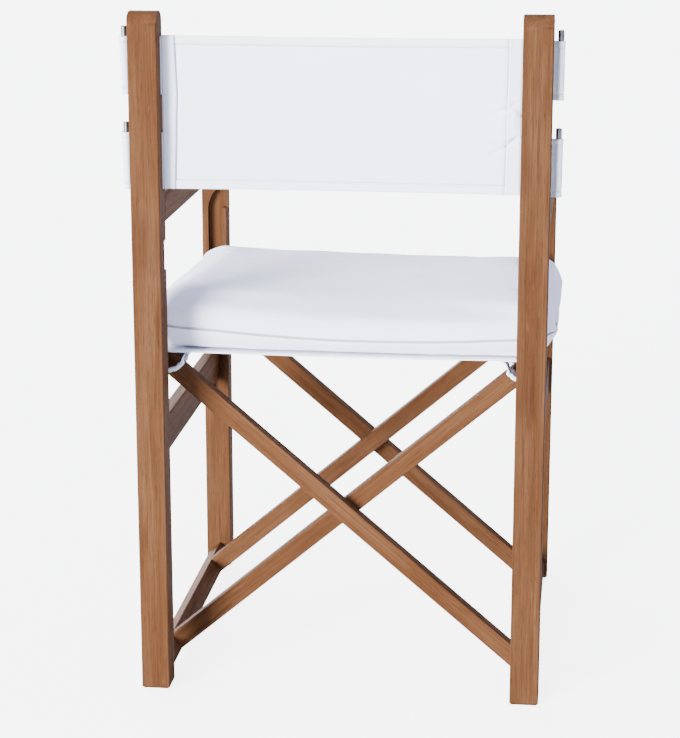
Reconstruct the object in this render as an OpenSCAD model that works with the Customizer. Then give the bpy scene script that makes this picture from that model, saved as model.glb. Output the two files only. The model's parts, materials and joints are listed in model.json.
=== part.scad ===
// Folding director's chair: two rigid side frames joined by two crossed leg
// frames that turn on pins low down and slide in grooves at seat height.
// The chair faces -Y, +X is the sitter's left, and the feet stand on z = 0.

/* [Overall] */
// Width over the posts
chair_w = 518; // [500:1:560]
// Depth over the posts
chair_d = 513; // [490:1:540]
// Height of the rear posts
chair_h = 880; // [870:1:920]

/* [Side frames] */
// Width of posts and arms, across the chair
post_w = 37; // [35:0.5:40]
// Depth of a rear post, front to back
rear_post_d = 36; // [34:1:44]
// Depth of a front leg, front to back
front_leg_d = 28; // [26:1:36]
// Rounding of the posts' long edges
post_edge_r = 2; // [1:0.5:4]
// Chamfer round each foot
foot_chamfer = 3; // [1:0.5:5]
// Height of the arm's underside
arm_under = 614; // [605:1:640]
// Height of the arm's section
arm_t = 38; // [28:1:44]
// Rounding of the arm's long edges
arm_edge_r = 5; // [2:1:8]
// Underside of the side rail below the seat
side_rail_under = 294; // [250:1:320]
// Height of the side rail's section
side_rail_h = 49; // [35:1:60]
// Thickness of the side rail
side_rail_t = 16; // [12:1:18]

/* [Guide grooves] */
// Width of the groove that the seat rail slides in
groove_w = 21; // [20.5:0.5:24]
// Depth of the groove
groove_depth = 12; // [10:1:14]
// Wood left outside the groove
groove_wall = 9.5; // [8:0.5:11]
// Lower end of the groove
groove_low = 260; // [220:1:285]
// Upper end of the groove
groove_high = 597; // [570:1:600]
// Radius of the bend at the groove's upper end
groove_bend_r = 46; // [22:1:50]
// Lower edge of the notch where the seat rail goes in and out
notch_low = 555; // [545:1:560]

/* [Crossed legs] */
// Height of the pins that the foot bars turn on
foot_pin_h = 22; // [20:0.5:26]
// Height of the seat rails' centre lines
seat_rail_h = 429.5; // [410:0.5:440]
// Height of a crossed leg's section
leg_h = 24; // [20:1:24]
// Thickness of a crossed leg, front to back
leg_t = 20; // [16:1:20]
// Rounding of the crossed legs' edges
leg_edge_r = 2; // [1:0.5:3]
// Room between an outer crossed leg and the post beside it
leg_inset = 39; // [30:1:60]
// Gap between crossing legs, filled by a washer
leg_gap = 1; // [0.5:0.1:2]
// Thickness of a foot bar, along the crossed legs
foot_bar_t = 22; // [18:1:22]
// Diameter of a seat rail
seat_rail_d = 20; // [18:0.5:20]
// Diameter of the steel pins
pin_d = 8; // [6:1:8]

/* [Seat] */
// Thickness of the canvas
canvas_t = 1.2; // [0.8:0.1:2]
// Distance from a seat rail's centre to its sleeve's seam
sleeve_reach = 40; // [25:1:60]
// Room between the seat canvas and the posts
canvas_inset = 26; // [8:1:30]
// Width of the cushion
cushion_w = 530; // [440:1:536]
// Depth of the cushion
cushion_d = 420; // [380:1:430]
// Thickness of the cushion at its crown
cushion_t = 56; // [30:1:70]
// Rounding of the cushion's edges
cushion_r = 15; // [8:1:20]

/* [Back] */
// Upper edge of the back panel
back_top = 850; // [800:1:852]
// Lower edge of the back panel
back_low = 660; // [656:1:700]
// Height of each of the panel's end loops
loop_h = 71; // [50:1:76]
// Distance of the panel behind the rear posts' front face
back_setback = 11; // [9:0.5:14]
// Diameter of the rods that hold the loops
rod_d = 7.5; // [5:0.5:8]
// Length of the rods
rod_len = 84; // [78:1:90]

/* [Hidden] */
$fn = 64;
rear_y = chair_d / 2;                         // rear face of the rear posts
front_y = -chair_d / 2;                       // front face of the front legs
post_front_y = rear_y - rear_post_d;          // front face of the rear posts
leg_rear_y = front_y + front_leg_d;           // rear face of the front legs
outer_x = chair_w / 2;
inner_x = outer_x - post_w;
groove_out_x = outer_x - groove_wall;
groove_in_x = groove_out_x - groove_w;
pivot_x = groove_out_x - groove_w / 2;        // foot pins and seat rails share one plane
leg_angle = atan((seat_rail_h - foot_pin_h) / (2 * pivot_x));
leg_len = norm([2 * pivot_x, seat_rail_h - foot_pin_h]);
cross_h = (seat_rail_h + foot_pin_h) / 2;
bar_gap = 0.5;                                // each end of a foot bar to its post
end_play = 1;                                 // seat rail's end to the groove's floor
fixed_fit = 0.03;                             // radial room round a pin that is glued in
running_fit = 0.06;                           // radial room round a pin that turns
pin_len = 28;
pin_hole = pin_len / 2 + 0.5;
pin_chamfer = 0.6;
washer_r = 9;
washer_play = 0.05;
// Rear faces of the four crossed legs
outer_rear_y = post_front_y - leg_inset;
inner_rear_y = outer_rear_y - leg_t - leg_gap;
outer_front_y = leg_rear_y + leg_inset + leg_t;
inner_front_y = outer_front_y + leg_t + leg_gap;
rear_cross_y = outer_rear_y - leg_t - leg_gap / 2;
front_cross_y = outer_front_y + leg_gap / 2;
seat_rail_r = seat_rail_d / 2;
cope_start = 4;                               // the leg stops short of the seat rail's centre
foot_tenon = [12, 10, 14];
rail_tenon = [8, 8, 8];
arm_tenon = [20, 16, 22];                     // rear end of the arm, into the rear post
leg_tenon = [20, 14, 20];                     // top of the front leg, into the arm
side_rail_out_x = outer_x - 4.5;
side_rail_in_x = side_rail_out_x - side_rail_t;
side_rail_edge_r = 2;
arm_nose_r = 14;
canvas_rear_y = post_front_y - canvas_inset;
canvas_front_y = leg_rear_y + canvas_inset;
sleeve_play = 0.3;
sleeve_sag = [-16, -2.5];                     // middle of the slack that hangs beside the seat rail
bag_root = 0.97;                              // the bag's straight sides start this far out in its circles
leg_cutout = 4;                               // the sleeve stops this far from a leg
sling_z = seat_rail_h + seat_rail_r + sleeve_play + canvas_t + 0.2;
sling_t = 2;
cushion_z = sling_z + sling_t + 0.4;
cushion_rear_y = post_front_y - 24;
back_y = post_front_y + back_setback;
loop_t = 2.4;
slot_t = 6;                                   // slot through the rear post for each loop
slot_play = 3;                                // slot's length beyond each end of the loop
rod_x = outer_x + 8;
rod_play = 0.15;
rod_rise = 13;                                // rod standing above its loop
rod_chamfer = 0.8;
upper_loop_z = back_top - 2;
lower_loop_z = back_low + loop_h - 1;
panel_end = 1;                                // panel's end to the post's inner face
panel_t = 2.4;

wood = "#a9764f";
end_wood = "#9a6a47";
canvas = "#ececf0";
steel = "#9a9ca0";

// Rectangle with round corners, made of squares and circles
module round_rect(w, d, r) {
  square([w - 2 * r, d], center = true);
  square([w, d - 2 * r], center = true);
  for (x = [-1, 1], y = [-1, 1])
    translate([x * (w / 2 - r), y * (d / 2 - r)]) circle(r);
}

// Extrude a drawing of X and Z along Y
module along_y(from, to) {
  translate([0, to, 0]) rotate([90, 0, 0]) linear_extrude(to - from) children();
}

// Extrude a drawing of Y and Z along X
module along_x(from, to) {
  translate([from, 0, 0]) rotate([90, 0, 90]) linear_extrude(to - from) children();
}

// Cylinder along Y with chamfered ends
module rod_y(r, from, to, chamfer) {
  translate([0, to, 0]) rotate([90, 0, 0]) rotate_extrude()
    polygon([[0, 0], [r - chamfer, 0], [r, chamfer], [r, to - from - chamfer],
             [r - chamfer, to - from], [0, to - from]]);
}

module bore_y(r, from, to) {
  translate([0, to, 0]) rotate([90, 0, 0]) cylinder(r = r, h = to - from);
}

// Outline with the two bottom corners cut off
module chamfered_foot(w, h, c) {
  polygon([[-w / 2 + c, 0], [w / 2 - c, 0], [w / 2, c], [w / 2, h], [-w / 2, h], [-w / 2, c]]);
}

// Mirror left-hand pieces to the right
module side(s) {
  mirror([s < 0 ? 1 : 0, 0, 0]) children();
}

// ---- side frames ----

// Groove as seen from the front: round at the bottom, bent at the top so that
// it leads the seat rail into the notch on the inner side
module groove_outline() {
  bend_z = groove_high - groove_bend_r;
  low_z = groove_low + groove_w / 2;
  translate([groove_in_x, low_z]) square([groove_w, bend_z - low_z]);
  translate([groove_in_x + groove_w / 2, low_z]) circle(groove_w / 2);
  intersection() {
    translate([groove_out_x - groove_bend_r, bend_z]) circle(groove_bend_r);
    union() {
      translate([groove_in_x, bend_z - 1]) square([groove_w, groove_bend_r + 1]);
      translate([inner_x - 1, notch_low])
        square([groove_in_x - inner_x + 2, groove_high - notch_low]);
    }
  }
}

module foot_pin_hole(from, to) {
  translate([pivot_x, 0, foot_pin_h]) bore_y(pin_d / 2 + fixed_fit, from, to);
}

module rear_post(s) {
  top_r = rear_post_d / 2;
  mid_x = outer_x - post_w / 2;
  mid_y = rear_y - rear_post_d / 2;
  color(wood) side(s) difference() {
    intersection() {
      translate([mid_x, mid_y, 0]) linear_extrude(chair_h)
        round_rect(post_w, rear_post_d, post_edge_r);
      along_x(inner_x - 1, outer_x + 1) {
        translate([mid_y, 0]) chamfered_foot(rear_post_d, chair_h - top_r, foot_chamfer);
        translate([mid_y, chair_h - top_r]) circle(top_r);
      }
      along_y(post_front_y - 1, rear_y + 1) {
        translate([mid_x, 0]) chamfered_foot(post_w, chair_h - top_r, foot_chamfer);
        translate([mid_x, chair_h - top_r]) round_rect(post_w, 2 * top_r, post_edge_r);
      }
    }
    along_y(post_front_y - 1, post_front_y + groove_depth) groove_outline();
    foot_pin_hole(post_front_y - 1, post_front_y + pin_hole);
    arm_mortise();
    for (top = [upper_loop_z, lower_loop_z])
      translate([inner_x - 1, back_y - slot_t / 2, top - loop_h - slot_play])
        cube([post_w + 2, slot_t, loop_h + 2 * slot_play]);
  }
}

module front_leg(s) {
  mid_x = outer_x - post_w / 2;
  mid_y = front_y + front_leg_d / 2;
  color(wood) side(s) {
    difference() {
      intersection() {
        translate([mid_x, mid_y, 0]) linear_extrude(arm_under)
          round_rect(post_w, front_leg_d, post_edge_r);
        along_x(inner_x - 1, outer_x + 1)
          translate([mid_y, 0]) chamfered_foot(front_leg_d, arm_under, foot_chamfer);
        along_y(front_y - 1, leg_rear_y + 1)
          translate([mid_x, 0]) chamfered_foot(post_w, arm_under, foot_chamfer);
      }
      along_y(leg_rear_y - groove_depth, leg_rear_y + 1) groove_outline();
      foot_pin_hole(leg_rear_y - pin_hole, leg_rear_y + 1);
    }
    leg_top_tenon();
  }
}

module leg_top_tenon() {
  translate([outer_x - (post_w + leg_tenon[0]) / 2, front_y + (front_leg_d - leg_tenon[1]) / 2, arm_under])
    cube(leg_tenon);
}

module arm_mortise() {
  translate([outer_x - (post_w + arm_tenon[0]) / 2, post_front_y, arm_under + (arm_t - arm_tenon[2]) / 2])
    cube(arm_tenon);
}

module armrest(s) {
  mid_x = outer_x - post_w / 2;
  color(wood) side(s) {
    difference() {
      intersection() {
        along_y(front_y, post_front_y)
          translate([mid_x, arm_under + arm_t / 2]) round_rect(post_w, arm_t, arm_edge_r);
        along_x(inner_x - 1, outer_x + 1) {
          translate([front_y + arm_nose_r, arm_under]) square([chair_d, arm_t]);
          translate([front_y, arm_under]) square([arm_nose_r + 1, arm_t - arm_nose_r]);
          translate([front_y + arm_nose_r, arm_under + arm_t - arm_nose_r]) circle(arm_nose_r);
        }
      }
      leg_top_tenon();
    }
    arm_mortise();
  }
}

// The side rail's stub tenons fill the outer half of the grooves
module side_rail(s) {
  color(wood) side(s) {
    along_y(leg_rear_y, post_front_y)
      translate([side_rail_out_x - side_rail_t / 2, side_rail_under + side_rail_h / 2])
        round_rect(side_rail_t, side_rail_h, side_rail_edge_r);
    for (y = [leg_rear_y - groove_depth, post_front_y])
      translate([side_rail_in_x, y, side_rail_under + side_rail_edge_r])
        cube([groove_out_x - side_rail_in_x, groove_depth, side_rail_h - 2 * side_rail_edge_r]);
  }
}

module foot_pins(s) {
  color(steel) side(s) for (y = [post_front_y, leg_rear_y])
    translate([pivot_x, y, foot_pin_h]) rod_y(pin_d / 2, -pin_len / 2, pin_len / 2, pin_chamfer);
}

// ---- crossed legs ----

// Turn a piece drawn along the outer legs, from the foot pin at the origin,
// into its place; the inner legs are the mirror image
module leg_place(s) {
  side(s) translate([-pivot_x, 0, foot_pin_h]) rotate([0, -leg_angle, 0]) children();
}

module foot_tenon_block(y) {
  translate([foot_bar_t / 2 - foot_tenon[0], y - (leg_t + foot_tenon[1]) / 2, -foot_tenon[2] / 2])
    cube(foot_tenon);
}

module rail_tenon_block(y) {
  translate([leg_len - cope_start - rail_tenon[0], y - (leg_t + rail_tenon[1]) / 2, -rail_tenon[2] / 2])
    cube([2 * rail_tenon[0], rail_tenon[1], rail_tenon[2]]);
}

// One crossed leg: rear face at y, bored for the cross pin from the face that
// meets its partner, tenoned into the foot bar and coped round the seat rail
module crossed_leg(s, y, cross_y, fit) {
  color(wood) leg_place(s) {
    difference() {
      translate([foot_bar_t / 2, y - leg_t / 2, 0]) rotate([0, 90, 0])
        linear_extrude(leg_len - cope_start - foot_bar_t / 2) round_rect(leg_h, leg_t, leg_edge_r);
      translate([leg_len, 0, 0]) bore_y(seat_rail_r, y - leg_t - 1, y + 1);
      translate([leg_len / 2, 0, 0]) bore_y(pin_d / 2 + fit, cross_y - pin_hole, cross_y + pin_hole);
    }
    foot_tenon_block(y);
    difference() {
      rail_tenon_block(y);
      translate([foot_bar_t, y - leg_t, -leg_h])
        cube([leg_len - seat_rail_r - foot_bar_t - 1, leg_t, 2 * leg_h]);
    }
  }
}

module foot_bar(s, leg_ys) {
  from = leg_rear_y + bar_gap;
  to = post_front_y - bar_gap;
  color(wood) leg_place(s) difference() {
    along_y(from, to) round_rect(foot_bar_t, leg_h, leg_edge_r);
    bore_y(pin_d / 2 + running_fit, from - 1, from + pin_hole);
    bore_y(pin_d / 2 + running_fit, to - pin_hole, to + 1);
    for (y = leg_ys) foot_tenon_block(y);
  }
}

module seat_rail(s, leg_ys) {
  color(end_wood) leg_place(s) difference() {
    translate([leg_len, 0, 0])
      rod_y(seat_rail_r, leg_rear_y - groove_depth + end_play, post_front_y + groove_depth - end_play, 1);
    for (y = leg_ys) rail_tenon_block(y);
  }
}

module cross_pins() {
  color(steel) for (y = [rear_cross_y, front_cross_y])
    translate([0, y, cross_h]) rod_y(pin_d / 2, 0.5 - pin_len / 2, pin_len / 2 - 0.5, pin_chamfer);
}

module cross_washers() {
  half = leg_gap / 2 - washer_play;
  color(steel) for (y = [rear_cross_y, front_cross_y])
    translate([0, y, cross_h]) difference() {
      bore_y(washer_r, -half, half);
      bore_y(pin_d / 2 + running_fit, -leg_gap, leg_gap);
    }
}

// ---- back ----

module back_rods(s) {
  color(steel) side(s) for (top = [upper_loop_z, lower_loop_z])
    translate([rod_x, back_y, top + rod_rise - rod_len])
      rotate_extrude() polygon([[0, 0], [rod_d / 2 - rod_chamfer, 0], [rod_d / 2, rod_chamfer],
        [rod_d / 2, rod_len - rod_chamfer], [rod_d / 2 - rod_chamfer, rod_len], [0, rod_len]]);
}

// Each loop comes off the panel's end, through the post and round its rod
module back_loops(s) {
  loop_r = rod_d / 2 + rod_play + 1.6;
  color(canvas) side(s) for (top = [upper_loop_z, lower_loop_z])
    translate([0, back_y, top - loop_h]) linear_extrude(loop_h) difference() {
      union() {
        translate([inner_x - panel_end, -loop_t / 2])
          square([rod_x - inner_x + panel_end - rod_d / 2, loop_t]);
        translate([rod_x, 0]) circle(loop_r);
      }
      translate([rod_x, 0]) circle(rod_d / 2 + rod_play);
    }
}

module back_panel() {
  half_w = inner_x - panel_end;
  color(canvas) translate([-half_w, back_y - panel_t / 2, back_low])
    cube([2 * half_w, panel_t, back_top - back_low]);
}

// ---- seat ----

// Slack bag: a circle round the seat rail and one in the sag beside it, drawn
// out to the sleeve's seam, which lies level with the top of the rail's circle
module bag(r, reach) {
  root = r * bag_root;
  run = [reach + sleeve_sag[0], r - sleeve_sag[1]];
  turn = atan(run[1] / run[0]) + asin(root / norm(run));
  circle(r);
  translate(sleeve_sag) circle(r);
  polygon([[0, root], [-reach, r], sleeve_sag - root * [sin(turn), cos(turn)],
           sleeve_sag - [0, root], [0, -root]]);
}

// Sleeve round a seat rail, open where the two crossed legs pass
module seat_sleeve(s, leg_ys) {
  inner_r = seat_rail_r + sleeve_play;
  cutouts = [for (y = leg_ys) each [y + leg_cutout, y - leg_t - leg_cutout]];
  stops = concat([canvas_rear_y], cutouts, [canvas_front_y]);
  color(canvas) side(s) for (i = [0 : 2 : len(stops) - 1])
    translate([pivot_x, 0, seat_rail_h]) along_y(stops[i + 1], stops[i]) difference() {
      bag(inner_r + canvas_t, sleeve_reach);
      bag(inner_r, sleeve_reach - 3 * canvas_t);
    }
}

module seat_sling() {
  color(canvas) translate([-pivot_x, canvas_front_y, sling_z])
    cube([2 * pivot_x, canvas_rear_y - canvas_front_y, sling_t]);
}

module cushion() {
  color("white") translate([0, cushion_rear_y - cushion_d / 2, cushion_z + cushion_t / 2]) hull()
    for (x = [-1, 1], y = [-1, 1], z = [-1, 1])
      translate([x * (cushion_w / 2 - cushion_r), y * (cushion_d / 2 - cushion_r),
                 z * (cushion_t / 2 - cushion_r)])
        sphere(cushion_r, $fn = 24);
}

rear_post(1);  // rear_post_left
front_leg(1);  // front_leg_left
armrest(1);  // armrest_left
side_rail(1);  // side_rail_left
foot_pins(1);  // foot_pins_left
rear_post(-1);  // rear_post_right
front_leg(-1);  // front_leg_right
armrest(-1);  // armrest_right
side_rail(-1);  // side_rail_right
foot_pins(-1);  // foot_pins_right
crossed_leg(1, outer_rear_y, rear_cross_y, running_fit);  // outer_leg_rear
crossed_leg(1, outer_front_y, front_cross_y, running_fit);  // outer_leg_front
foot_bar(1, [outer_rear_y, outer_front_y]);  // foot_bar_right
seat_rail(1, [outer_rear_y, outer_front_y]);  // seat_rail_left
crossed_leg(-1, inner_rear_y, rear_cross_y, fixed_fit);  // inner_leg_rear
crossed_leg(-1, inner_front_y, front_cross_y, fixed_fit);  // inner_leg_front
foot_bar(-1, [inner_rear_y, inner_front_y]);  // foot_bar_left
seat_rail(-1, [inner_rear_y, inner_front_y]);  // seat_rail_right
cross_pins();
cross_washers();
back_rods(1);  // back_rods_left
back_rods(-1);  // back_rods_right
back_panel();
back_loops(1);  // back_loops_left
back_loops(-1);  // back_loops_right
seat_sling();
seat_sleeve(1, [outer_rear_y, outer_front_y]);  // seat_sleeve_left
seat_sleeve(-1, [inner_rear_y, inner_front_y]);  // seat_sleeve_right
cushion();
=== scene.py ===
"""Folding director's chair: the looks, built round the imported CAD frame."""
import json
import math

import bmesh
import bpy
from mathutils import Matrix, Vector, noise


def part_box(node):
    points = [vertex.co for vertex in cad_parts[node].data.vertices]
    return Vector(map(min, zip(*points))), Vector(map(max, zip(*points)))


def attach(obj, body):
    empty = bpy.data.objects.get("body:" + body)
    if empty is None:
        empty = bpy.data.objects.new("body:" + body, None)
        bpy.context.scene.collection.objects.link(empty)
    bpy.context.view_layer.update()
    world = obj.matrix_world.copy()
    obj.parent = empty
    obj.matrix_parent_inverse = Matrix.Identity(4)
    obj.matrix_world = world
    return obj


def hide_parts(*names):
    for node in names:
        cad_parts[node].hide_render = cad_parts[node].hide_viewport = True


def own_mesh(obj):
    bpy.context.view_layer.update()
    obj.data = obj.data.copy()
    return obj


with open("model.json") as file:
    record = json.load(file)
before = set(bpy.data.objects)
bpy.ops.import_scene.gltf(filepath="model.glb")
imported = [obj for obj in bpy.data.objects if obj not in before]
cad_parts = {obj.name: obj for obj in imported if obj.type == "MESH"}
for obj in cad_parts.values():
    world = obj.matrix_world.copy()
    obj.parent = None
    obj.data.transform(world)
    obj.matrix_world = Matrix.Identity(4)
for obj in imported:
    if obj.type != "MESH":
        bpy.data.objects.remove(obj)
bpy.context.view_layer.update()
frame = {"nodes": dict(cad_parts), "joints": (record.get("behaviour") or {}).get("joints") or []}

MM = 0.001

# ---------------------------------------------------------------- places read from the frame

JOINTS = {joint["name"]: joint for joint in frame["joints"]}
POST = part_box("rear_post_left")
INNER_X = POST[0].x
OUTER_X = POST[1].x
FOOT_PIN = Vector(JOINTS["fold"]["pos_m"])
SEAT_RAIL = Vector(JOINTS["seat_turn"]["pos_m"])


# ---------------------------------------------------------------- camera, lights and floor

CAMERA_AT = Vector((-0.306, 2.822, 1.099))
CAMERA_YAW = math.radians(6.74)
CAMERA_PITCH = math.radians(-14.30)
CAMERA_LENS = 113.0
CAMERA_SENSOR = 36.0

SKY_TINT = (0.80, 0.89, 1.18, 1.0)
SKY_BRIGHT_WAY = (0.94, -0.24, -0.10)
SKY_LIGHT = (1.05, 1.70)
PAPER_WHITE = 0.88
PAPER_HALF = 40.0
# The paper and the backdrop are lit apart from the chair: this glow is seen, and lights nothing
PAPER_GLOW = 4.6
BACKDROP_GLOW = 6.2
# Each lamp is a far softbox: name, where it stands, light on a facing surface, how wide it looks
LAMPS = [
    ("key", (2.1, 3.4, 0.65), 16.8, 26),
    ("front", (1.5, -3.0, 0.95), 5.5, 34),
]


def place_camera():
    data = bpy.data.cameras.new("camera")
    data.lens = CAMERA_LENS
    data.sensor_width = CAMERA_SENSOR
    data.sensor_fit = "HORIZONTAL"
    camera = bpy.data.objects.new("camera", data)
    bpy.context.scene.collection.objects.link(camera)
    level = math.cos(CAMERA_PITCH)
    look = Vector((math.sin(CAMERA_YAW) * level, -math.cos(CAMERA_YAW) * level, math.sin(CAMERA_PITCH)))
    camera.location = CAMERA_AT
    camera.rotation_euler = look.to_track_quat("-Z", "Y").to_euler()
    bpy.context.scene.camera = camera


def softbox(name, at, light, width):
    data = bpy.data.lights.new(name, "SUN")
    data.energy = light
    data.angle = math.radians(width)
    lamp = bpy.data.objects.new(name, data)
    bpy.context.scene.collection.objects.link(lamp)
    lamp.location = at
    lamp.rotation_euler = (-lamp.location).to_track_quat("-Z", "Y").to_euler()


def light_studio():
    world = bpy.data.worlds.new("studio")
    world.use_nodes = True
    nodes, links = world.node_tree.nodes, world.node_tree.links
    background = nodes["Background"]
    background.inputs["Color"].default_value = SKY_TINT
    toward = nodes.new("ShaderNodeVectorMath")
    toward.operation = "DOT_PRODUCT"
    toward.inputs[1].default_value = SKY_BRIGHT_WAY
    links.new(nodes.new("ShaderNodeTexCoord").outputs["Generated"], toward.inputs[0])
    spread = nodes.new("ShaderNodeMapRange")
    for socket, value in zip(("From Min", "From Max", "To Min", "To Max"), (-1.0, 1.0) + SKY_LIGHT):
        spread.inputs[socket].default_value = value
    links.new(toward.outputs["Value"], spread.inputs["Value"])
    links.new(spread.outputs["Result"], background.inputs["Strength"])
    backdrop = nodes.new("ShaderNodeBackground")
    backdrop.inputs["Color"].default_value = (1, 1, 1, 1)
    backdrop.inputs["Strength"].default_value = BACKDROP_GLOW
    seen = nodes.new("ShaderNodeMixShader")
    links.new(nodes.new("ShaderNodeLightPath").outputs["Is Camera Ray"], seen.inputs[0])
    links.new(background.outputs[0], seen.inputs[1])
    links.new(backdrop.outputs[0], seen.inputs[2])
    links.new(seen.outputs[0], nodes["World Output"].inputs["Surface"])
    bpy.context.scene.world = world
    for lamp in LAMPS:
        softbox(*lamp)


def lay_floor():
    mesh = bpy.data.meshes.new("floor")
    corners = [(x * PAPER_HALF, y * PAPER_HALF, 0) for x, y in ((-1, -1), (1, -1), (1, 1), (-1, 1))]
    mesh.from_pydata(corners, [], [(0, 1, 2, 3)])
    floor = bpy.data.objects.new("floor", mesh)
    bpy.context.scene.collection.objects.link(floor)
    shader = Shader("floor_paper")
    shader.surface.inputs["Base Color"].default_value = (PAPER_WHITE, PAPER_WHITE, PAPER_WHITE, 1)
    shader.surface.inputs["Roughness"].default_value = 1.0
    shader.surface.inputs["Specular IOR Level"].default_value = 0.0
    shader.surface.inputs["Emission Color"].default_value = (1, 1, 1, 1)
    seen = shader.nodes.new("ShaderNodeLightPath").outputs["Is Camera Ray"]
    shader.feed(shader.surface.inputs["Emission Strength"], shader.math("MULTIPLY", seen, PAPER_GLOW))
    mesh.materials.append(shader.material)


# ---------------------------------------------------------------- materials


class Shader:
    """A material's node tree, built with one call per node."""

    def __init__(self, name):
        self.material = bpy.data.materials.new(name)
        self.material.use_nodes = True
        self.nodes = self.material.node_tree.nodes
        self.links = self.material.node_tree.links
        self.surface = self.nodes["Principled BSDF"]

    def feed(self, socket, value):
        if isinstance(value, bpy.types.NodeSocket):
            self.links.new(value, socket)
        else:
            socket.default_value = value

    def node(self, kind, inputs, **settings):
        made = self.nodes.new(kind)
        for key, value in settings.items():
            setattr(made, key, value)
        for key, value in inputs.items():
            self.feed(made.inputs[key], value)
        return made

    def math(self, operation, a, b=0.0, clamp=False):
        return self.node("ShaderNodeMath", {0: a, 1: b}, operation=operation, use_clamp=clamp).outputs[0]

    def vector(self, operation, a, b):
        made = self.node("ShaderNodeVectorMath", {0: a, 1: b}, operation=operation)
        return made.outputs["Value" if operation in ("DOT_PRODUCT", "LENGTH") else "Vector"]

    def noise(self, vector, scale, detail=3.0, roughness=0.55):
        made = self.node("ShaderNodeTexNoise",
                         {"Vector": vector, "Scale": scale, "Detail": detail, "Roughness": roughness})
        return made.outputs["Fac"]

    def between(self, value, low, high, out_low=0.0, out_high=1.0):
        made = self.node("ShaderNodeMapRange", {"Value": value, "From Min": low, "From Max": high,
                                                "To Min": out_low, "To Max": out_high})
        return made.outputs["Result"]

    def mix(self, factor, a, b, blend="MIX"):
        made = self.nodes.new("ShaderNodeMix")
        made.data_type = "RGBA"
        made.blend_type = blend
        self.feed(made.inputs["Factor"], factor)
        self.feed(made.inputs[6], a)
        self.feed(made.inputs[7], b)
        return made.outputs[2]

    def bump(self, height, distance, strength=1.0):
        made = self.node("ShaderNodeBump", {"Height": height, "Distance": distance, "Strength": strength})
        self.links.new(made.outputs["Normal"], self.surface.inputs["Normal"])

    def here(self):
        """The place on the piece at rest, in metres."""
        return self.nodes.new("ShaderNodeTexCoord").outputs["Object"]


WOOD_BASE = (0.085, 0.0356, 0.0148, 1)
WOOD_DARK = (0.043, 0.0156, 0.0060, 1)
WOOD_PALE = (0.118, 0.0555, 0.0262, 1)
WOOD_PORE = (0.022, 0.0075, 0.0030, 1)
RING_PITCH = 7.5 * MM
RING_WANDER = 22 * MM
# Noise drawn out along the grain: stretch, scale, detail, roughness
WOOD_FIGURE = {
    "band": (0.07, 55.0, 3.0, 0.55),
    "cloud": (0.30, 22.0, 2.0, 0.55),
    "fibre": (0.022, 520.0, 4.0, 0.65),
    "streak": (0.06, 120.0, 3.0, 0.6),
    "fleck": (0.10, 420.0, 2.0, 0.5),
    "pore": (0.05, 1300.0, 2.0, 0.55),
}


def wood(name, grain, centre, seed, tone=1.0):
    """Oiled hardwood sawn along grain: faint rings round a pith beside the piece, bands, fibres and pores."""
    s = Shader(name)
    grain = Vector(grain).normalized()
    across = grain.cross(Vector((0.31, 0.94, 0.13))).normalized()
    other = grain.cross(across)
    here = s.vector("SUBTRACT", s.here(), centre)
    axes = {k: s.vector("DOT_PRODUCT", here, tuple(axis)) for k, axis in enumerate((across, other, grain))}
    place = s.node("ShaderNodeCombineXYZ", axes).outputs[0]
    seeded = s.vector("ADD", place, (0.37 * seed, 0.61 * seed, 0.83 * seed))

    def figure(kind):
        along, scale, detail, roughness = WOOD_FIGURE[kind]
        return s.noise(s.vector("MULTIPLY", seeded, (1, 1, along)), scale, detail, roughness)

    wander = s.node("ShaderNodeTexNoise", {"Vector": s.vector("MULTIPLY", seeded, (1, 1, 0.16)),
                                           "Scale": 16.0, "Detail": 2.0}).outputs["Color"]
    wander = s.vector("MULTIPLY", wander, (RING_WANDER, RING_WANDER, 0))
    pith = (0.030 + 0.02 * math.sin(5.0 * seed), 0.045 + 0.02 * math.cos(3.0 * seed), 0)
    ring_place = s.vector("SUBTRACT", s.vector("ADD", s.vector("MULTIPLY", place, (1, 1, 0)), wander), pith)
    out = s.vector("LENGTH", ring_place, (0, 0, 0))
    ring = s.math("SINE", s.math("MULTIPLY", out, 2 * math.pi / RING_PITCH))
    ring = s.math("POWER", s.between(ring, -1, 1), 2.0)

    band, cloud, fibre = figure("band"), figure("cloud"), figure("fibre")
    streak = s.between(figure("streak"), 0.58, 0.72)
    fleck = s.between(figure("fleck"), 0.66, 0.74)
    pore = s.between(figure("pore"), 0.60, 0.70)

    colour = s.mix(s.math("MULTIPLY", ring, 0.22), WOOD_BASE, WOOD_DARK)
    colour = s.mix(s.between(band, 0.42, 0.66, 0.0, 0.75), colour, WOOD_PALE)
    colour = s.mix(s.between(cloud, 0.48, 0.70, 0.0, 0.42), colour, WOOD_DARK)
    colour = s.mix(s.math("MULTIPLY", streak, 0.62), colour, WOOD_DARK)
    colour = s.mix(s.between(fibre, 0.35, 0.62, 0.50, 0.0), colour, WOOD_DARK)
    colour = s.mix(s.math("MULTIPLY", fleck, 0.45), colour, WOOD_PALE)
    colour = s.mix(s.math("MULTIPLY", pore, 0.55), colour, WOOD_PORE)
    colour = s.mix(1.0, colour, (tone, tone, tone, 1), "MULTIPLY")
    s.feed(s.surface.inputs["Base Color"], colour)
    s.feed(s.surface.inputs["Roughness"], s.between(fibre, 0.3, 0.7, 0.62, 0.50))
    s.surface.inputs["Specular IOR Level"].default_value = 0.02
    height = s.math("SUBTRACT", s.math("MULTIPLY", fibre, 0.5), s.math("MULTIPLY", pore, 0.6))
    s.bump(height, 0.12 * MM, 0.8)
    return s.material


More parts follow.
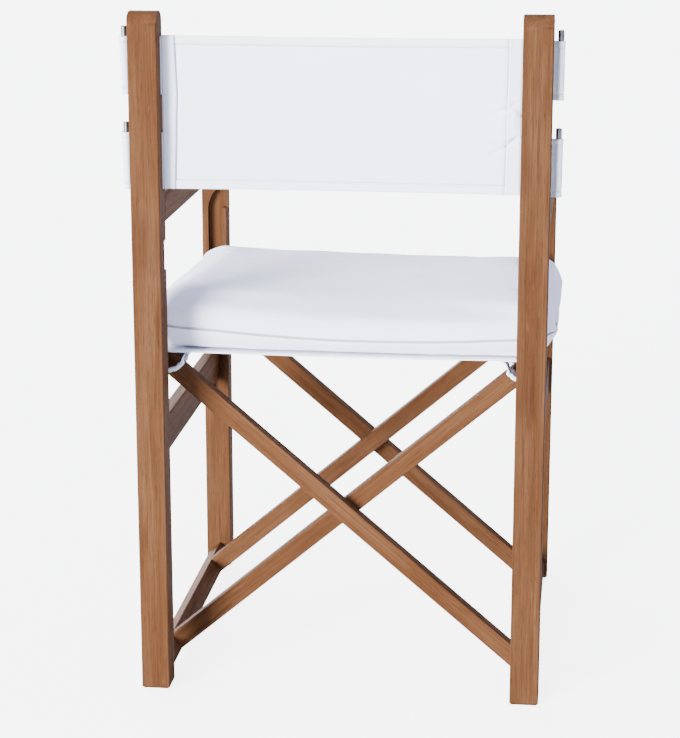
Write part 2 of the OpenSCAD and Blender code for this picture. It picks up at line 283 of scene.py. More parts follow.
def canvas(name, colour, pitch):
    """Plain-weave cotton: threads crossing at pitch, slubs, and a faint unevenness of the bleach."""
    s = Shader(name)
    here = s.here()
    parts = s.node("ShaderNodeSeparateXYZ", {0: here})
    turns = 2 * math.pi / pitch
    threads = [s.math("COSINE", s.math("MULTIPLY", parts.outputs[axis], turns)) for axis in range(3)]
    weave = s.math("ADD", s.math("ADD", threads[0], threads[1]), threads[2])
    weave = s.between(weave, -2.2, 2.2)
    slub = s.noise(here, 900.0, 3.0, 0.7)
    cloud = s.noise(here, 14.0, 3.0)
    soft = tuple(c * 0.965 for c in colour[:3]) + (1,)
    deep = tuple(c * 0.90 for c in colour[:3]) + (1,)
    tint = s.mix(s.between(cloud, 0.35, 0.7), colour, soft)
    tint = s.mix(s.between(weave, 0.0, 0.45, 0.35, 0.0), tint, deep)
    tint = s.mix(s.between(slub, 0.55, 0.8, 0.0, 0.25), tint, deep)
    s.feed(s.surface.inputs["Base Color"], tint)
    s.surface.inputs["Roughness"].default_value = 0.88
    s.surface.inputs["Specular IOR Level"].default_value = 0.25
    s.surface.inputs["Sheen Weight"].default_value = 0.18
    s.surface.inputs["Sheen Roughness"].default_value = 0.5
    height = s.math("ADD", s.math("MULTIPLY", weave, 0.7), s.math("MULTIPLY", slub, 0.5))
    s.bump(height, 0.16 * MM, 0.7)
    return s.material


def steel(name, colour, rough):
    """Drawn steel: fine lines along the rod and a dull oxide bloom."""
    s = Shader(name)
    lines = s.noise(s.vector("MULTIPLY", s.here(), (1, 1, 0.03)), 2600.0, 2.0)
    bloom = s.noise(s.here(), 120.0, 4.0)
    dull = tuple(c * 0.62 for c in colour[:3]) + (1,)
    s.feed(s.surface.inputs["Base Color"], s.mix(s.between(bloom, 0.45, 0.7), colour, dull))
    s.surface.inputs["Metallic"].default_value = 1.0
    s.feed(s.surface.inputs["Roughness"], s.between(lines, 0.3, 0.7, rough - 0.06, rough + 0.10))
    s.bump(lines, 0.03 * MM, 0.5)
    return s.material


CANVAS_WHITE = (0.77, 0.805, 0.895, 1)
COVER_WHITE = (0.79, 0.785, 0.90, 1)
# Painted shade: a dark grey cloth for the faces beside the cushion's top seam, standing in for the seam's
# shadow
SEAM_PAINTED_SHADE = (0.42, 0.415, 0.45, 1)
THREAD_WHITE = (0.70, 0.70, 0.72, 1)
CANVAS_PITCH = 1.15 * MM           # from one thread of the weave to the next
COTTON_PITCH = 0.9 * MM
STEEL_GREY = (0.18, 0.185, 0.20, 1)


def thread_material():
    s = Shader("sewing_thread")
    twist = s.noise(s.here(), 2400.0, 2.0)
    s.feed(s.surface.inputs["Base Color"],
           s.mix(s.between(twist, 0.35, 0.7), THREAD_WHITE, tuple(c * 0.8 for c in THREAD_WHITE[:3]) + (1,)))
    s.surface.inputs["Roughness"].default_value = 0.7
    s.bump(twist, 0.05 * MM)
    return s.material


# ---------------------------------------------------------------- wood and steel: the CAD nodes, finished

ALONG_X, ALONG_Y, ALONG_Z = (1, 0, 0), (0, 1, 0), (0, 0, 1)
LEG_RUN = Vector((2 * SEAT_RAIL.x, 0, SEAT_RAIL.z - FOOT_PIN.z)).normalized()
MIRRORED_RUN = Vector((-LEG_RUN.x, 0, LEG_RUN.z))

# Node, direction of its grain, tone
WOODEN = [
    ("rear_post_left", ALONG_Z, 1.00), ("rear_post_right", ALONG_Z, 0.88),
    ("front_leg_left", ALONG_Z, 0.93), ("front_leg_right", ALONG_Z, 0.95),
    ("armrest_left", ALONG_Y, 1.02), ("armrest_right", ALONG_Y, 1.00),
    ("side_rail_left", ALONG_Y, 1.05), ("side_rail_right", ALONG_Y, 1.00),
    ("outer_leg_rear", LEG_RUN, 1.02), ("outer_leg_front", LEG_RUN, 0.96),
    ("inner_leg_rear", MIRRORED_RUN, 0.97), ("inner_leg_front", MIRRORED_RUN, 1.00),
    ("foot_bar_left", ALONG_Y, 1.04), ("foot_bar_right", ALONG_Y, 0.98),
    ("seat_rail_left", ALONG_Y, 0.92), ("seat_rail_right", ALONG_Y, 0.92),
]
ARRIS = 0.6 * MM


def ease_edges(piece, width):
    """Sandpapered arrises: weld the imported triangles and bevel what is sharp."""
    weld = piece.modifiers.new("weld", "WELD")
    weld.merge_threshold = 0.01 * MM
    bevel = piece.modifiers.new("arris", "BEVEL")
    bevel.width = width
    bevel.segments = 2
    bevel.limit_method = "ANGLE"
    bevel.angle_limit = math.radians(40)
    shading = piece.modifiers.new("flat_faces", "WEIGHTED_NORMAL")
    shading.keep_sharp = True


def finish_node(name, material, edge):
    piece = frame["nodes"][name]
    piece.data.materials.clear()
    piece.data.materials.append(material)
    if edge:
        ease_edges(piece, edge)


def finish_wood():
    for index, (name, grain, tone) in enumerate(WOODEN):
        low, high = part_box(name)
        material = wood(f"wood_{name}", grain, tuple((low + high) / 2), index + 1, tone)
        finish_node(name, material, ARRIS)


def finish_steel():
    rod = steel("rod_steel", STEEL_GREY, 0.36)
    for name in ("back_rods_left", "back_rods_right"):
        finish_node(name, rod, 0)
    pin = steel("pin_steel", STEEL_GREY, 0.3)
    for name in ("foot_pins_left", "foot_pins_right", "cross_pins", "cross_washers"):
        finish_node(name, pin, 0)


# ---------------------------------------------------------------- sewn pieces

# Length of a stitch with its gap, radius of the thread
PANEL_STITCH = (3.6 * MM, 0.30 * MM)
LOOP_STITCH = (3.2 * MM, 0.30 * MM)
SEAT_STITCH = (3.8 * MM, 0.34 * MM)
STITCH_ENDS = (0.14, 0.86)         # where the dash starts and ends within that length
STITCH_GIRTH = ((0.0, 0.35), (0.25, 1.0), (0.75, 1.0), (1.0, 0.35))    # place along it, share of the radius


def add_piece(name, mesh, material, body):
    piece = bpy.data.objects.new(name, mesh)
    bpy.context.scene.collection.objects.link(piece)
    mesh.materials.append(material)
    for face in mesh.polygons:
        face.use_smooth = True
    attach(piece, body)
    return piece


def cloth_from_grid(name, rows, thickness):
    """A thin closed skin round a grid of points; thickness is one number, or one for each point."""
    count, width = len(rows), len(rows[0])
    thick = thickness if isinstance(thickness, list) else [[thickness] * width] * count
    bm = bmesh.new()

    def normal(i, j):
        a = rows[min(i + 1, count - 1)][j] - rows[max(i - 1, 0)][j]
        b = rows[i][min(j + 1, width - 1)] - rows[i][max(j - 1, 0)]
        return a.cross(b).normalized()

    sides = []
    for sign in (0.5, -0.5):
        sides.append([[bm.verts.new(rows[i][j] + normal(i, j) * thick[i][j] * sign) for j in range(width)]
                      for i in range(count)])
    top, bottom = sides
    for i in range(count - 1):
        for j in range(width - 1):
            bm.faces.new((top[i][j], top[i + 1][j], top[i + 1][j + 1], top[i][j + 1]))
            bm.faces.new((bottom[i][j], bottom[i][j + 1], bottom[i + 1][j + 1], bottom[i + 1][j]))
    rim = ([(i, 0) for i in range(count)] + [(count - 1, j) for j in range(1, width)]
           + [(i, width - 1) for i in range(count - 2, -1, -1)] + [(0, j) for j in range(width - 2, 0, -1)])
    for (i, j), (k, l) in zip(rim, rim[1:] + rim[:1]):
        bm.faces.new((top[i][j], top[k][l], bottom[k][l], bottom[i][j]))
    bmesh.ops.recalc_face_normals(bm, faces=bm.faces)
    mesh = bpy.data.meshes.new(name)
    bm.to_mesh(mesh)
    bm.free()
    return mesh


def point_along(line, lengths, distance):
    """The point of a line of points this far along it; lengths holds how far along each point is."""
    for k in range(len(line) - 1):
        if distance <= lengths[k + 1] or k == len(line) - 2:
            share = (distance - lengths[k]) / max(lengths[k + 1] - lengths[k], 1e-9)
            return line[k].lerp(line[k + 1], min(max(share, 0), 1))


def stitches(name, lines, pitch, radius, material, body):
    """Sewn dashes along each line of points, each dash a little spindle half sunk in the cloth."""
    bm = bmesh.new()
    for line in lines:
        lengths = [0.0]
        for a, b in zip(line, line[1:]):
            lengths.append(lengths[-1] + (b - a).length)
        for n in range(int(lengths[-1] / pitch)):
            a, b = (point_along(line, lengths, pitch * (n + end)) for end in STITCH_ENDS)
            run = (b - a).normalized()
            side = run.cross(Vector((0.2, 0.9, 0.4))).normalized()
            up = run.cross(side)
            rings = []
            for share, girth in STITCH_GIRTH:
                centre = a.lerp(b, share)
                rings.append([bm.verts.new(centre + (side * math.cos(t) + up * math.sin(t)) * radius * girth)
                              for t in (k * math.pi / 3 for k in range(6))])
            for r, q in zip(rings, rings[1:]):
                for k in range(6):
                    bm.faces.new((r[k], r[(k + 1) % 6], q[(k + 1) % 6], q[k]))
            bm.faces.new(rings[0][::-1])
            bm.faces.new(rings[-1])
    bmesh.ops.recalc_face_normals(bm, faces=bm.faces)
    mesh = bpy.data.meshes.new(name)
    bm.to_mesh(mesh)
    bm.free()
    return add_piece(name, mesh, material, body)


def steps(low, high, pitch):
    count = max(2, math.ceil((high - low) / pitch))
    return [low + (high - low) * k / count for k in range(count + 1)]


def steps_round(low, high, pitch, lines, half_width):
    """Even steps, with five close ones at each line so that a fold or a seam there is crisp."""
    marks = sorted(line + side * half_width for line in lines for side in (-2, -1, 0, 1, 2))
    even = [v for v in steps(low, high, pitch) if all(abs(v - mark) > 0.5 * pitch for mark in marks)]
    ends = [low, high]
    return sorted(set([v for v in even if v not in ends] + marks + ends))


def ripple(x, z, scale, seed):
    return noise.noise(Vector((x * scale, z * scale, seed)))


def smooth(value, low, high):
    """0 below low, 1 above high, and a soft rise between."""
    t = min(max((value - low) / (high - low), 0.0), 1.0)
    return t * t * (3 - 2 * t)


# ---------------------------------------------------------------- back

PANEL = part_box("back_panel")
PANEL_Y = (PANEL[0].y + PANEL[1].y) / 2
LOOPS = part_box("back_loops_left")
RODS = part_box("back_rods_left")
ROD_X = (RODS[0].x + RODS[1].x) / 2
ROD_R = (RODS[1].x - RODS[0].x) / 2
CLOTH_T = 1.1 * MM
HEM_W = 11 * MM
SEAM_X = INNER_X - 19 * MM
SEAM_HALF = 0.45 * MM
LOOP_H = 71 * MM
UPPER_LOOP_TOP = LOOPS[1].z
LOWER_LOOP_TOP = LOOPS[0].z + LOOP_H
LOOP_SPANS = [(UPPER_LOOP_TOP - LOOP_H, UPPER_LOOP_TOP), (LOWER_LOOP_TOP - LOOP_H, LOWER_LOOP_TOP)]
SLACK_LOW, SLACK_HIGH = LOOP_SPANS[1][1], LOOP_SPANS[0][0]
HEM_LINES = (PANEL[0].z + HEM_W, PANEL[1].z - HEM_W)
# Creases at the panel's ends: height at the post, height at the seam, depth, width
CREASES = [
    (SLACK_HIGH - 6 * MM, SLACK_HIGH - 12 * MM, -1.8 * MM, 2.2 * MM),
    (SLACK_LOW + 1 * MM, SLACK_LOW - 10 * MM, -2.6 * MM, 2.0 * MM),
    (SLACK_LOW - 14 * MM, SLACK_LOW - 12 * MM, -1.3 * MM, 2.4 * MM),
    (SLACK_HIGH - 24 * MM, SLACK_HIGH - 14 * MM, 1.2 * MM, 2.8 * MM),
]
# By side: the sign of x
CREASE_SHARE = {1: 0.45, -1: 2.6}
SLACK_BULGE = {1: 1.0 * MM, -1: 2.4 * MM}
SEAM_DITCH = {1: 3.4 * MM, -1: 2.2 * MM}
SEAM_LIP = {1: 1.3 * MM, -1: 0.6 * MM}
HEM_DITCH = 1.3 * MM
HEM_STEP = 0.6 * MM                # how far each doubled part stands proud
END_STEP = 0.8 * MM
PATCH_STEP = 0.5 * MM
WAVE = 1.5 * MM
FINE_WAVE = 0.35 * MM
CREASE_BOW = 3.0 * MM
POST_FADE = 9 * MM                 # over this length beside the post the folds fade
HEM_HOLLOW = 1.0 * MM

# How far out the panel's upright seams stand at its lower and upper edge
SEAM_RUN = {1: (199.0 * MM, 205.5 * MM), -1: (202.5 * MM, 200.0 * MM)}


def seam_shift(x, z):
    """The upright seams aren't quite plumb: the cloth beside them follows."""
    low, high = SEAM_RUN[1 if x > 0 else -1]
    share = (z - PANEL[0].z) / (PANEL[1].z - PANEL[0].z)
    out = low + (high - low) * share - SEAM_X
    near = smooth(abs(x), 90 * MM, SEAM_X) * (1 - smooth(abs(x), SEAM_X, INNER_X - 1.5 * MM))
    return math.copysign(out * near, x)


def step_at(value, line):
    """0 before a seam line, 1 past it."""
    return smooth(value, line - SEAM_HALF, line + SEAM_HALF)


def ridge(value, half_width):
    return math.exp(-(value / half_width) ** 2)


def panel_depth(x, z):
    """How far the panel stands behind its flat plane: hems, loop patches, seam steps and tension folds."""
    side = 1 if x > 0 else -1
    beyond = abs(x) - SEAM_X
    end = step_at(beyond, 0)
    hem = max(step_at(z, HEM_LINES[1]), 1 - step_at(z, HEM_LINES[0]))
    patch = max(step_at(z, low) * (1 - step_at(z, high)) for low, high in LOOP_SPANS)
    depth = HEM_STEP * hem * (1 - end) + END_STEP * end + PATCH_STEP * end * patch
    depth -= SEAM_DITCH[side] * ridge(beyond + 0.5 * MM, 0.6 * MM)
    depth += SEAM_LIP[side] * ridge(beyond - 0.9 * MM, 1.8 * MM)
    hem_line = min(abs(z - line) for line in HEM_LINES)
    depth -= HEM_DITCH * (1 - end) * ridge(hem_line, 0.9 * MM)
    fade = 0.75 * smooth(abs(x), PANEL[1].x - POST_FADE, PANEL[1].x)
    reach = smooth(beyond, -34 * MM, 12 * MM) * (1 - fade)
    slack = ridge(z - (SLACK_LOW + SLACK_HIGH) / 2, 17 * MM)
    depth += SLACK_BULGE[side] * reach * slack
    across = min(max(beyond / (INNER_X - SEAM_X), -2.0), 1.0)
    for at_post, at_seam, deep, wide in CREASES:
        line = at_seam + (at_post - at_seam) * across
        bow = CREASE_BOW * math.sin(math.pi * min(max(across, 0.0), 1.0))
        depth += CREASE_SHARE[side] * deep * reach * ridge(z - line - bow, wide)
    depth += WAVE * ripple(x, z * 2.0, 6, 0.4)
    depth += FINE_WAVE * ripple(x * 0.6, z * 2.2, 24, 5.1)
    return depth


def back_panel(material, thread):
    inner = (PANEL[0].z + 3 * MM, PANEL[1].z - 3 * MM)
    patch_lines = [z for span in LOOP_SPANS for z in span if inner[0] < z < inner[1]]
    xs = steps_round(PANEL[0].x, PANEL[1].x, 2.5 * MM, (-SEAM_X, SEAM_X), SEAM_HALF)
    zs = steps_round(PANEL[0].z, PANEL[1].z, 2.0 * MM, list(HEM_LINES) + patch_lines, SEAM_HALF)

    def point(x, z, out=0.0):
        share = (z - PANEL[0].z) / (PANEL[1].z - PANEL[0].z)
        hollow = HEM_HOLLOW * (1 - (x / PANEL[1].x) ** 2)
        depth = panel_depth(x, z) + out
        return Vector((x + seam_shift(x, z), PANEL_Y + depth, z + hollow * (1 - 2 * share)))

    rows = [[point(x, z) for x in xs] for z in zs]
    mesh = cloth_from_grid("back_panel_cloth", rows, CLOTH_T)
    piece = add_piece("back_panel_cloth", mesh, material, "left_frame")
    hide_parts("back_panel")
    lines = []
    for out in (CLOTH_T * 0.5, -CLOTH_T * 0.5):
        for z in (HEM_LINES[0] - 1.6 * MM, HEM_LINES[1] + 1.6 * MM):
            lines.append([point(x, z, out) for x in steps(-SEAM_X, SEAM_X, 4 * MM)])
        for x in (-SEAM_X - 1.8 * MM, SEAM_X + 1.8 * MM):
            lines.append([point(x, z, out) for z in steps(PANEL[0].z + 2 * MM, PANEL[1].z - 2 * MM, 4 * MM)])
    sewn = stitches("back_panel_stitches", lines, *PANEL_STITCH, thread, "left_frame")
    for cloth in (piece, sewn):
        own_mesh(cloth)


PLY_GAP = 0.75 * MM                # each ply's middle from the loop's own plane, and from the rod
ROUND_STEPS = 18


def loop_outline(out=0.0):
    """A canvas loop from above: two plies through the post and round the rod, x from the chair's middle."""
    radius = ROD_R + PLY_GAP + out
    points = [Vector((INNER_X - 0.4 * MM, PLY_GAP)), Vector((OUTER_X - 8 * MM, PLY_GAP)),
              Vector((OUTER_X, PLY_GAP * 1.3))]
    meet = math.radians(148)
    for k in range(ROUND_STEPS + 1):
        angle = meet - 2 * meet * k / ROUND_STEPS
        points.append(Vector((ROD_X + radius * math.cos(angle), radius * math.sin(angle))))
    points += [Vector((p.x, -p.y)) for p in points[2::-1]]
    return points


# How far each loop leans outward over its height: upper loop first
LOOP_LEAN = {"left": (3.2 * MM, 2.0 * MM), "right": (0.4 * MM, 0.6 * MM)}
LOOP_HEM = 8 * MM
LOOP_HEM_STEP = 0.35 * MM
LOOP_DITCH = 0.9 * MM
LOOP_WAVE = 0.45 * MM
SEWN_HALF = 0.4 * MM               # half the width of the hem's stitched line
SEWN_IN = 1.4 * MM                 # the stitches lie this far outside it


def back_loops(side, material, thread):
    sign = 1 if side == "left" else -1
    outline = loop_outline()
    bm = bmesh.new()
    lines = []
    for n, (low, high) in enumerate(LOOP_SPANS):
        sewn_at = (low + LOOP_HEM - SEWN_HALF, high - LOOP_HEM + SEWN_HALF)

        def place(p, z, k):
            outward = smooth(p.x, OUTER_X - 2 * MM, OUTER_X + 6 * MM)
            hem = max(smooth(z, high - LOOP_HEM, high - LOOP_HEM + 2 * SEWN_HALF),
                      1 - smooth(z, low + LOOP_HEM - 2 * SEWN_HALF, low + LOOP_HEM))
            ditch = LOOP_DITCH * ridge(min(abs(z - line) for line in sewn_at), 2 * SEWN_HALF)
            wave = LOOP_WAVE * ripple(k * 0.11, z * sign, 30, n + 2.0)
            puff = outward * (LOOP_HEM_STEP * hem - ditch + wave)
            away = (p - Vector((ROD_X, 0))).normalized() * puff
            lean = outward * LOOP_LEAN[side][n] * (z - (low + high) / 2) / LOOP_H
            return Vector((sign * (p.x + away.x + lean), PANEL_Y + p.y + away.y, z))

        zs = steps_round(low, high, 3 * MM, sewn_at, SEWN_HALF)
        rows = [[place(p, z, k) for k, p in enumerate(outline)] for z in zs]
        part = cloth_from_grid("loop", rows, CLOTH_T)
        bm.from_mesh(part)
        bpy.data.meshes.remove(part)
        for z in (low + LOOP_HEM - SEWN_IN, high - LOOP_HEM + SEWN_IN):
            round_rod = [(k, p) for k, p in enumerate(loop_outline(0.8 * MM)) if p.x > OUTER_X + 1 * MM]
            lines.append([place(p, z, k) for k, p in round_rod])
    mesh = bpy.data.meshes.new(f"back_loops_cloth_{side}")
    bm.to_mesh(mesh)
    bm.free()
    piece = add_piece(f"back_loops_cloth_{side}", mesh, material, f"{side}_frame")
    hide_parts(f"back_loops_{side}")
    sewn = stitches(f"back_loops_stitches_{side}", lines, *LOOP_STITCH, thread, f"{side}_frame")


# ---------------------------------------------------------------- seat

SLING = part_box("seat_sling")
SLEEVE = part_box("seat_sleeve_left")
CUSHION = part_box("cushion")
RAIL_R = (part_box("seat_rail_left")[1].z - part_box("seat_rail_left")[0].z) / 2
SLING_T = 1.8 * MM
SEWN_END = 58 * MM                 # the sling's hem stitches stop where its sleeves begin
SLING_SAG = 1.6 * MM
SLING_WAVE = 0.35 * MM
SLEEVE_T = 1.1 * MM
SLEEVE_HEM_T = 5.0 * MM
SLEEVE_HEM = 4.5 * MM
SLEEVE_PUFF = 2.2 * MM
SLEEVE_CRUMPLE = 1.6 * MM
LEG_GAP = 4 * MM                   # the sleeve is cut back this far from each leg


def seat_sling(material, thread):
    middle_z = (SLING[0].z + SLING[1].z) / 2
    xs = steps(SLING[0].x, SLING[1].x, 5 * MM)
    ys = steps(SLING[0].y, SLING[1].y, 3 * MM)

    def point(x, y, out=0.0):
        hem = 1 - smooth(min(y - SLING[0].y, SLING[1].y - y), HEM_W, HEM_W + 1.2 * MM)
        sag = SLING_SAG * (1 - (x / SLING[1].x) ** 2)
        wave = SLING_WAVE * ripple(x, y, 18, 1.7)
        return Vector((x, y, middle_z - sag - SLING_WAVE * (1 - hem) + wave + out))

    rows = [[point(x, y) for x in xs] for y in ys]
    mesh = cloth_from_grid("seat_sling_cloth", rows, SLING_T)
    piece = add_piece("seat_sling_cloth", mesh, material, "seat")
    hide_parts("seat_sling")
    sewn_xs = steps(SLING[0].x + SEWN_END, SLING[1].x - SEWN_END, 5 * MM)
    sewn_ys = (SLING[0].y + HEM_W + 0.8 * MM, SLING[1].y - HEM_W - 0.8 * MM)
    lines = [[point(x, y, out) for x in sewn_xs] for y in sewn_ys for out in (SLING_T / 2, -SLING_T / 2)]
    sewn = stitches("seat_sling_stitches", lines, *SEAT_STITCH, thread, "seat")
    for cloth in (piece, sewn):
        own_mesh(cloth)


# The slack sleeve from its seam, under the seat rail and back, in X and Z from the rail's centre, mm
SLEEVE_BAG = [(-37, 11), (-33, 8.5), (-30, 3), (-29, -2), (-27, -6.5), (-22, -10.5), (-16, -13), (-9, -14),
              (-2, -13.2), (5, -10.6), (9.5, -5.5), (11.2, 0), (9.5, 6), (5.5, 9.6), (0, 11.1), (-9, 11.4),
              (-18, 11.4), (-28, 11.3), (-37, 11.2)]


def curve_through(points, pitch):
    """Smooth curve through the points, in steps of about pitch."""
    places = [Vector(p) for p in points]
    curve = []
    for k in range(len(places) - 1):
        a, b = places[max(k - 1, 0)], places[k]
        c, d = places[k + 1], places[min(k + 2, len(places) - 1)]
        count = max(1, round((c - b).length / pitch))
        for n in range(count):
            t = n / count
            curve.append(0.5 * (2 * b + (c - a) * t + (2 * a - 5 * b + 4 * c - d) * t * t
                                + (3 * b - a - 3 * c + d) * t ** 3))
    return curve + [places[-1]]


def sleeve_spans(side):
    """The sleeve's lengths along Y: it is cut out where its own two legs meet the rail."""
    ladder = "outer" if side == "left" else "inner"
    stops = [SLEEVE[1].y]
    for leg in (f"{ladder}_leg_rear", f"{ladder}_leg_front"):
        low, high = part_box(leg)
        stops += [high.y + LEG_GAP, low.y - LEG_GAP]
    stops.append(SLEEVE[0].y)
    return list(zip(stops[::2], stops[1::2]))


def seat_sleeve(side, material, thread):
    sign = 1 if side == "left" else -1
    outline = [p * MM for p in curve_through(SLEEVE_BAG, 2.5)]
    bm = bmesh.new()
    lines = []
    for n, (high, low) in enumerate(sleeve_spans(side)):
        ys = steps(low, high, 2 * MM)
        rows, thick = [], []
        for y in ys:
            hem = 1 - smooth(min(y - low, high - y), SLEEVE_HEM - 1 * MM, SLEEVE_HEM + 1 * MM)
            rows.append([])
            thick.append([])
            for k, p in enumerate(outline):
                hang = smooth(-p.y, -4 * MM, 0.8 * RAIL_R)
                puff = hang * SLEEVE_PUFF * ripple(k * 0.16, y, 26, n + 3.1)
                crumple = hang * hem * SLEEVE_CRUMPLE * ripple(k * 0.45, y, 60, n + 7.7)
                away = Vector((p.x + 14 * MM, p.y)).normalized() * (puff + crumple)
                rows[-1].append(Vector((sign * (SEAT_RAIL.x + p.x + away.x), y, SEAT_RAIL.z + p.y + away.y)))
                thick[-1].append(SLEEVE_T + (SLEEVE_HEM_T - SLEEVE_T) * hem * hang)
        part = cloth_from_grid("sleeve", rows, thick)
        bm.from_mesh(part)
        bpy.data.meshes.remove(part)
        seam = outline[0] + Vector((4 * MM, -1.4 * MM))
        lines.append([Vector((sign * (SEAT_RAIL.x + seam.x), y, SEAT_RAIL.z + seam.y))
                      for y in steps(low + 1 * MM, high - 1 * MM, 5 * MM)])
    mesh = bpy.data.meshes.new(f"seat_sleeve_cloth_{side}")
    bm.to_mesh(mesh)
    bm.free()
    body = "seat" if side == "left" else "right_sleeve"
    piece = add_piece(f"seat_sleeve_cloth_{side}", mesh, material, body)
    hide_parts(f"seat_sleeve_{side}")
    sewn = stitches(f"seat_sleeve_stitches_{side}", lines, *SEAT_STITCH, thread, body)


# ---------------------------------------------------------------- cushion

CUSHION_SHIFT = -4.0 * MM          # it has slid a little to the sitter's right
CORNER_R = {"rear": 40 * MM, "front": 26 * MM}
PITCH = 6.5 * MM
PRESSURE = 4.0
SWELL_CAP = 7 * MM
FILL_STEPS = 20
SEAM_PULL = (3.4 * MM, 0.3 * MM)   # top seam, bottom seam
SEAM_SIDE = 1.0 * MM               # the first and second row of points in from the seam
SEAM_NEXT = 3.5 * MM
SEAM_CREASE = 0.9
PUCKER = 0.6 * MM
DENT = 1.0 * MM

# Each row: way in along the cover from the seam, inset from the widest line, height above the underside, mm
TOP_PANEL = [(0, 2.6, 18), (1, 1.2, 18.9), (3.5, 0.0, 20.8), (9, -1.4, 27), (15, -0.8, 33.5), (22, 2.0, 40.5),
             (30, 7, 46.5), (40, 16, 50.8), (55, 31, 53.6), (80, 58, 55.8), (120, 102, 57.2),
             (160, 150, 57.8), (260, 260, 57.8)]
UNDERSIDE = [(0, 13, 0.8), (6, 18, 0.2), (14, 25, 0.0), (260, 260, 0.0)]
BAND = [(2.0, 16.9), (3.0, 13.0), (5.8, 9.0), (9.5, 4.8)]       # inset and height only, from the top down
# How far from the middle the cover curls up, how high, and how steeply, by the sign of x
CURL = {1: (186 * MM, 7.2 * MM, 1.6), -1: (205 * MM, 4.6 * MM, 2.6)}
TILT = 2.4 * MM
# How the end on the sitter's right is squeezed: lifted at the foot, fuller above, its flank pushed out
END_TUCK = 9.0 * MM
END_FULL = 5.0 * MM
END_FLANK = (1.5 * MM, 2.5 * MM)   # the whole flank, and more below


def table_at(table, way):
    """The row of a table at this way in, between its neighbours."""
    for (w0, *low), (w1, *high) in zip(table, table[1:]):
        if way <= w1:
            share = (way - w0) / (w1 - w0)
            return [a + (b - a) * share for a, b in zip(low, high)]
    return list(table[-1][1:])


def ring_point(x, y, inset, half_x, half_y):
    """A point of the flat pattern, moved to its place on the round-cornered ring inset this far."""
    depth = min(half_x - abs(x), half_y - abs(y))
    old_a, old_b = max(half_x - depth, 1e-6), max(half_y - depth, 1e-6)
    a, b = half_x - inset, half_y - inset
    px, py = abs(x) * a / old_a, abs(y) * b / old_b
    r = max(CORNER_R["rear" if y > 0 else "front"] - max(inset, 0.0), 0.0)
    u, v = px - (a - r), py - (b - r)
    if r > 0 and u > 0 and v > 0:
        turn = (v / r if u >= v else 2 - u / r) * math.pi / 4
        px, py = a - r + r * math.cos(turn), b - r + r * math.sin(turn)
    return Vector((math.copysign(px, x), math.copysign(py, y)))


def cushion_lift(x, y, height, half_y):
    """The corners and sides curl up from the sling, more on the sitter's left."""
    reach, rise, steep = CURL[1 if x > 0 else -1]
    lift = rise * min(abs(x) / reach, 1.25) ** steep
    lift *= 0.12 + 0.88 * smooth(y, -0.9 * half_y, half_y)
    thicker = 0.18 + 1.27 * min(max(height / (18 * MM), 0.0), 1.0)
    tilt = TILT * x / (200 * MM) * smooth(height, 20 * MM, 50 * MM)
    end = smooth(-x, 218 * MM, 258 * MM)
    tuck = END_TUCK * end * (1 - smooth(height, 3 * MM, 26 * MM))
    full = END_FULL * end * smooth(height, 24 * MM, 44 * MM)
    return lift * thicker + tilt + tuck + full


def cushion_blank():
    """The cover as sewn: top panel, side band and underside, with the band's two seams as rings of edges, and
    the faces along the top seam given a darker cloth as painted seam shadow.
    """
    half_x, half_y = (CUSHION[1].x - CUSHION[0].x) / 2, (CUSHION[1].y - CUSHION[0].y) / 2
    middle = (CUSHION[0] + CUSHION[1]) / 2
    xs, ys = [
        [-half, SEAM_SIDE - half, *steps(SEAM_NEXT - half, half - SEAM_NEXT, PITCH), half - SEAM_SIDE, half]
        for half in (half_x, half_y)
    ]
    nx, ny = len(xs), len(ys)
    rim = ([(i, 0) for i in range(nx)] + [(nx - 1, j) for j in range(1, ny)]
           + [(i, ny - 1) for i in range(nx - 2, -1, -1)] + [(0, j) for j in range(ny - 2, 0, -1)])
    bm = bmesh.new()

    def vertex(x, y, inset, height):
        p = ring_point(x, y, inset, half_x, half_y)
        z = CUSHION[0].z + height + cushion_lift(p.x, p.y, height, half_y)
        flank = END_FLANK[0] * (1 - smooth(height, 30 * MM, 48 * MM))
        flank += END_FLANK[1] * (1 - smooth(height, 20 * MM, 30 * MM))
        out = flank * smooth(-p.x, 222 * MM, 250 * MM)
        return bm.verts.new((middle.x + CUSHION_SHIFT + p.x - out, middle.y + p.y, z))

    def panel(table):
        grid = []
        for x in xs:
            column = []
            for y in ys:
                way = min(half_x - abs(x), half_y - abs(y))
                inset, height = table_at(table, way / MM)
                column.append(vertex(x, y, inset * MM, height * MM))
            grid.append(column)
        return grid

    top, under = panel(TOP_PANEL), panel(UNDERSIDE)
    rings = [[top[i][j] for i, j in rim]]
    rings += [[vertex(xs[i], ys[j], inset * MM, height * MM) for i, j in rim] for inset, height in BAND]
    rings.append([under[i][j] for i, j in rim])
    for grid in (top, under):
        for i in range(nx - 1):
            for j in range(ny - 1):
                bm.faces.new((grid[i][j], grid[i + 1][j], grid[i + 1][j + 1], grid[i][j + 1]))
    for a, b in zip(rings, rings[1:]):
        for k in range(len(rim)):
            m = (k + 1) % len(rim)
            bm.faces.new((a[k], a[m], b[m], b[k]))
    bmesh.ops.recalc_face_normals(bm, faces=bm.faces)
    bm.verts.index_update()
    seams = [[v.index for v in ring] for ring in (rings[0], rings[-1])]
    held = [v.index for column in under for v in column]
    held += [v.index for ring in rings[1:-1] for v in ring]
    # The faces along the top seam take the second material, a painted seam shadow
    for edge_ends in zip(rings[0], rings[0][1:] + rings[0][:1]):
        for face in bm.edges.get(edge_ends).link_faces:
            face.material_index = 1
    crease = bm.edges.layers.float.new("crease_edge")
    for ring in (rings[0], rings[-1]):
        for k, v in enumerate(ring):
            edge = bm.edges.get((v, ring[(k + 1) % len(ring)]))
            edge[crease] = SEAM_CREASE
    mesh = bpy.data.meshes.new("cushion_cover")
    bm.to_mesh(mesh)
    bm.free()
    return mesh, seams, held


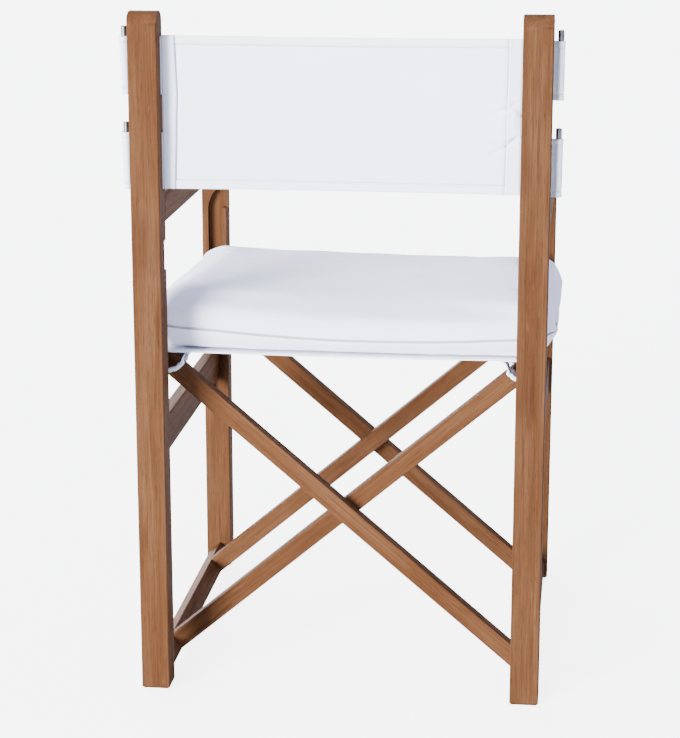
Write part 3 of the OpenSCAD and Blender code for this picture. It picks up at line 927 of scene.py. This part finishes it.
def applied(piece):
    """Replace the piece's mesh by the one its modifiers make."""
    graph = bpy.context.evaluated_depsgraph_get()
    mesh = bpy.data.meshes.new_from_object(piece.evaluated_get(graph))
    piece.modifiers.clear()
    old = piece.data
    piece.data = mesh
    bpy.data.meshes.remove(old)


def inflate(piece, held_points):
    """Fill the cover by cloth simulation, with its seams, band and underside held."""
    piece.vertex_groups.new(name="held").add(held_points, 1.0, "REPLACE")
    rest = [v.co.copy() for v in piece.data.vertices]
    cloth = piece.modifiers.new("filling", "CLOTH")
    cloth.settings.use_pressure = True
    cloth.settings.uniform_pressure_force = PRESSURE
    cloth.settings.vertex_group_mass = "held"
    cloth.settings.effector_weights.gravity = 0.0
    scene = bpy.context.scene
    for step in range(1, FILL_STEPS + 1):
        scene.frame_set(step)
    applied(piece)
    for v, start in zip(piece.data.vertices, rest):
        move = v.co - start
        if move.length > SWELL_CAP:
            v.co = start + move * (SWELL_CAP / move.length)
    scene.frame_set(1)


def dress(piece, seams):
    """Draw the seams in and pucker the cloth beside them."""
    vertices = piece.data.vertices
    for ring, pull in zip(seams, SEAM_PULL):
        for k, inward in [(k, -vertices[k].normal) for k in ring]:
            vertices[k].co += inward * pull
    for v in vertices:
        p = v.co
        pucker = PUCKER * ripple(p.x + p.z, p.y - p.z, 42, 0.7) + DENT * ripple(p.x, p.y, 11, 4.2)
        v.co = p + v.normal * pucker


def cushion(material, seam_shadow_paint):
    mesh, seams, held = cushion_blank()
    piece = bpy.data.objects.new("cushion_cover", mesh)
    bpy.context.scene.collection.objects.link(piece)
    inflate(piece, held + [k for ring in seams for k in ring])
    dress(piece, seams)
    finer = piece.modifiers.new("finer", "SUBSURF")
    finer.levels = 1
    applied(piece)
    piece.data.materials.append(material)
    # Second material: painted shadow on the faces beside the top seam
    piece.data.materials.append(seam_shadow_paint)
    for face in piece.data.polygons:
        face.use_smooth = True
    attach(piece, "seat")
    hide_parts("cushion")
    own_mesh(piece)


# ---------------------------------------------------------------- build

place_camera()
light_studio()
lay_floor()
finish_wood()
finish_steel()
canvas_material = canvas("canvas", CANVAS_WHITE, CANVAS_PITCH)
cover_material = canvas("cushion_cotton", COVER_WHITE, COTTON_PITCH)
# Painted shade along the cushion's top seam
seam_shadow_paint = canvas("cushion_seam_painted_shadow", SEAM_PAINTED_SHADE, COTTON_PITCH)
thread = thread_material()
back_loops("left", canvas_material, thread)
back_loops("right", canvas_material, thread)
back_panel(canvas_material, thread)
seat_sling(canvas_material, thread)
seat_sleeve("left", canvas_material, thread)
seat_sleeve("right", canvas_material, thread)
cushion(cover_material, seam_shadow_paint)
